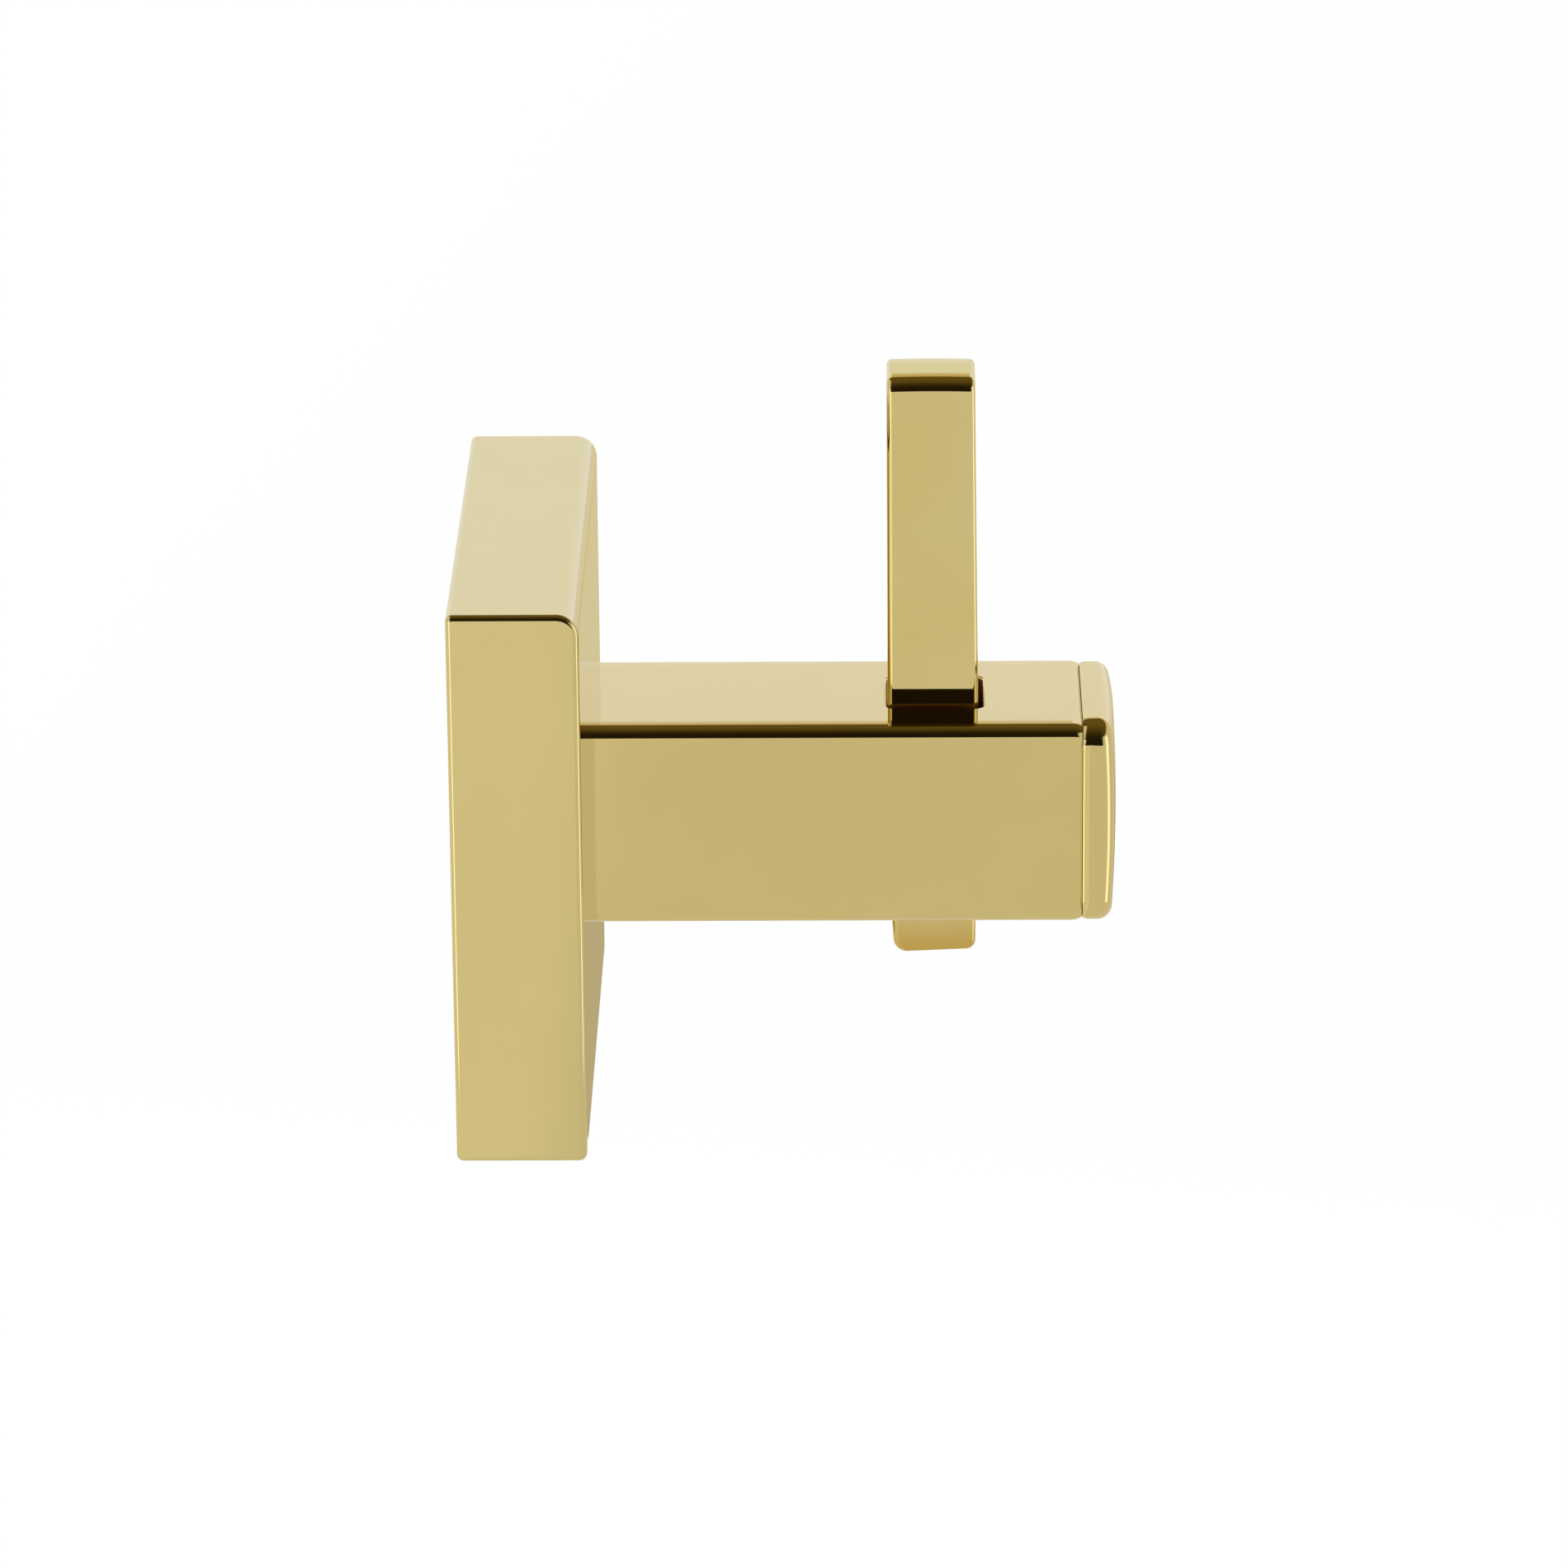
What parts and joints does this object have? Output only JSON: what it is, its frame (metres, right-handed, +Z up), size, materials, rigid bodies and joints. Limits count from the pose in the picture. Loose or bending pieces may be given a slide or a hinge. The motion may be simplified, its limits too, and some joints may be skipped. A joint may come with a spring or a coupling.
{
  "type": "wall hook",
  "caption": "Square polished-brass wall hook: a square rose over a hidden bracket, a square post, an upright bar through the post and a rounded end cap, for a robe or towel.",
  "frame": {"origin": "middle of the rose's wall side, on the wall plane, midway between the two wall screw holes", "axes": "+X along the wall, +Y into the wall, +Z up; the hook stands out of the wall towards -Y"},
  "size_m": [0.05, 0.0575, 0.064],
  "materials": {
    "polished_brass": "mirror polished",
    "zinc_plated_steel": "zinc plated",
    "stainless_steel": "plain machined"
  },
  "bodies": {
    "root": {"rose": "polished_brass", "post": "polished_brass", "upright_bar": "polished_brass", "end_cap": "polished_brass", "wall_bracket": "zinc_plated_steel", "post_screw": "zinc_plated_steel", "spring_washer": "zinc_plated_steel", "rose_set_screw": "stainless_steel", "bar_grub_screw": "stainless_steel", "locating_pin": "stainless_steel"}
  },
  "joints": []
}
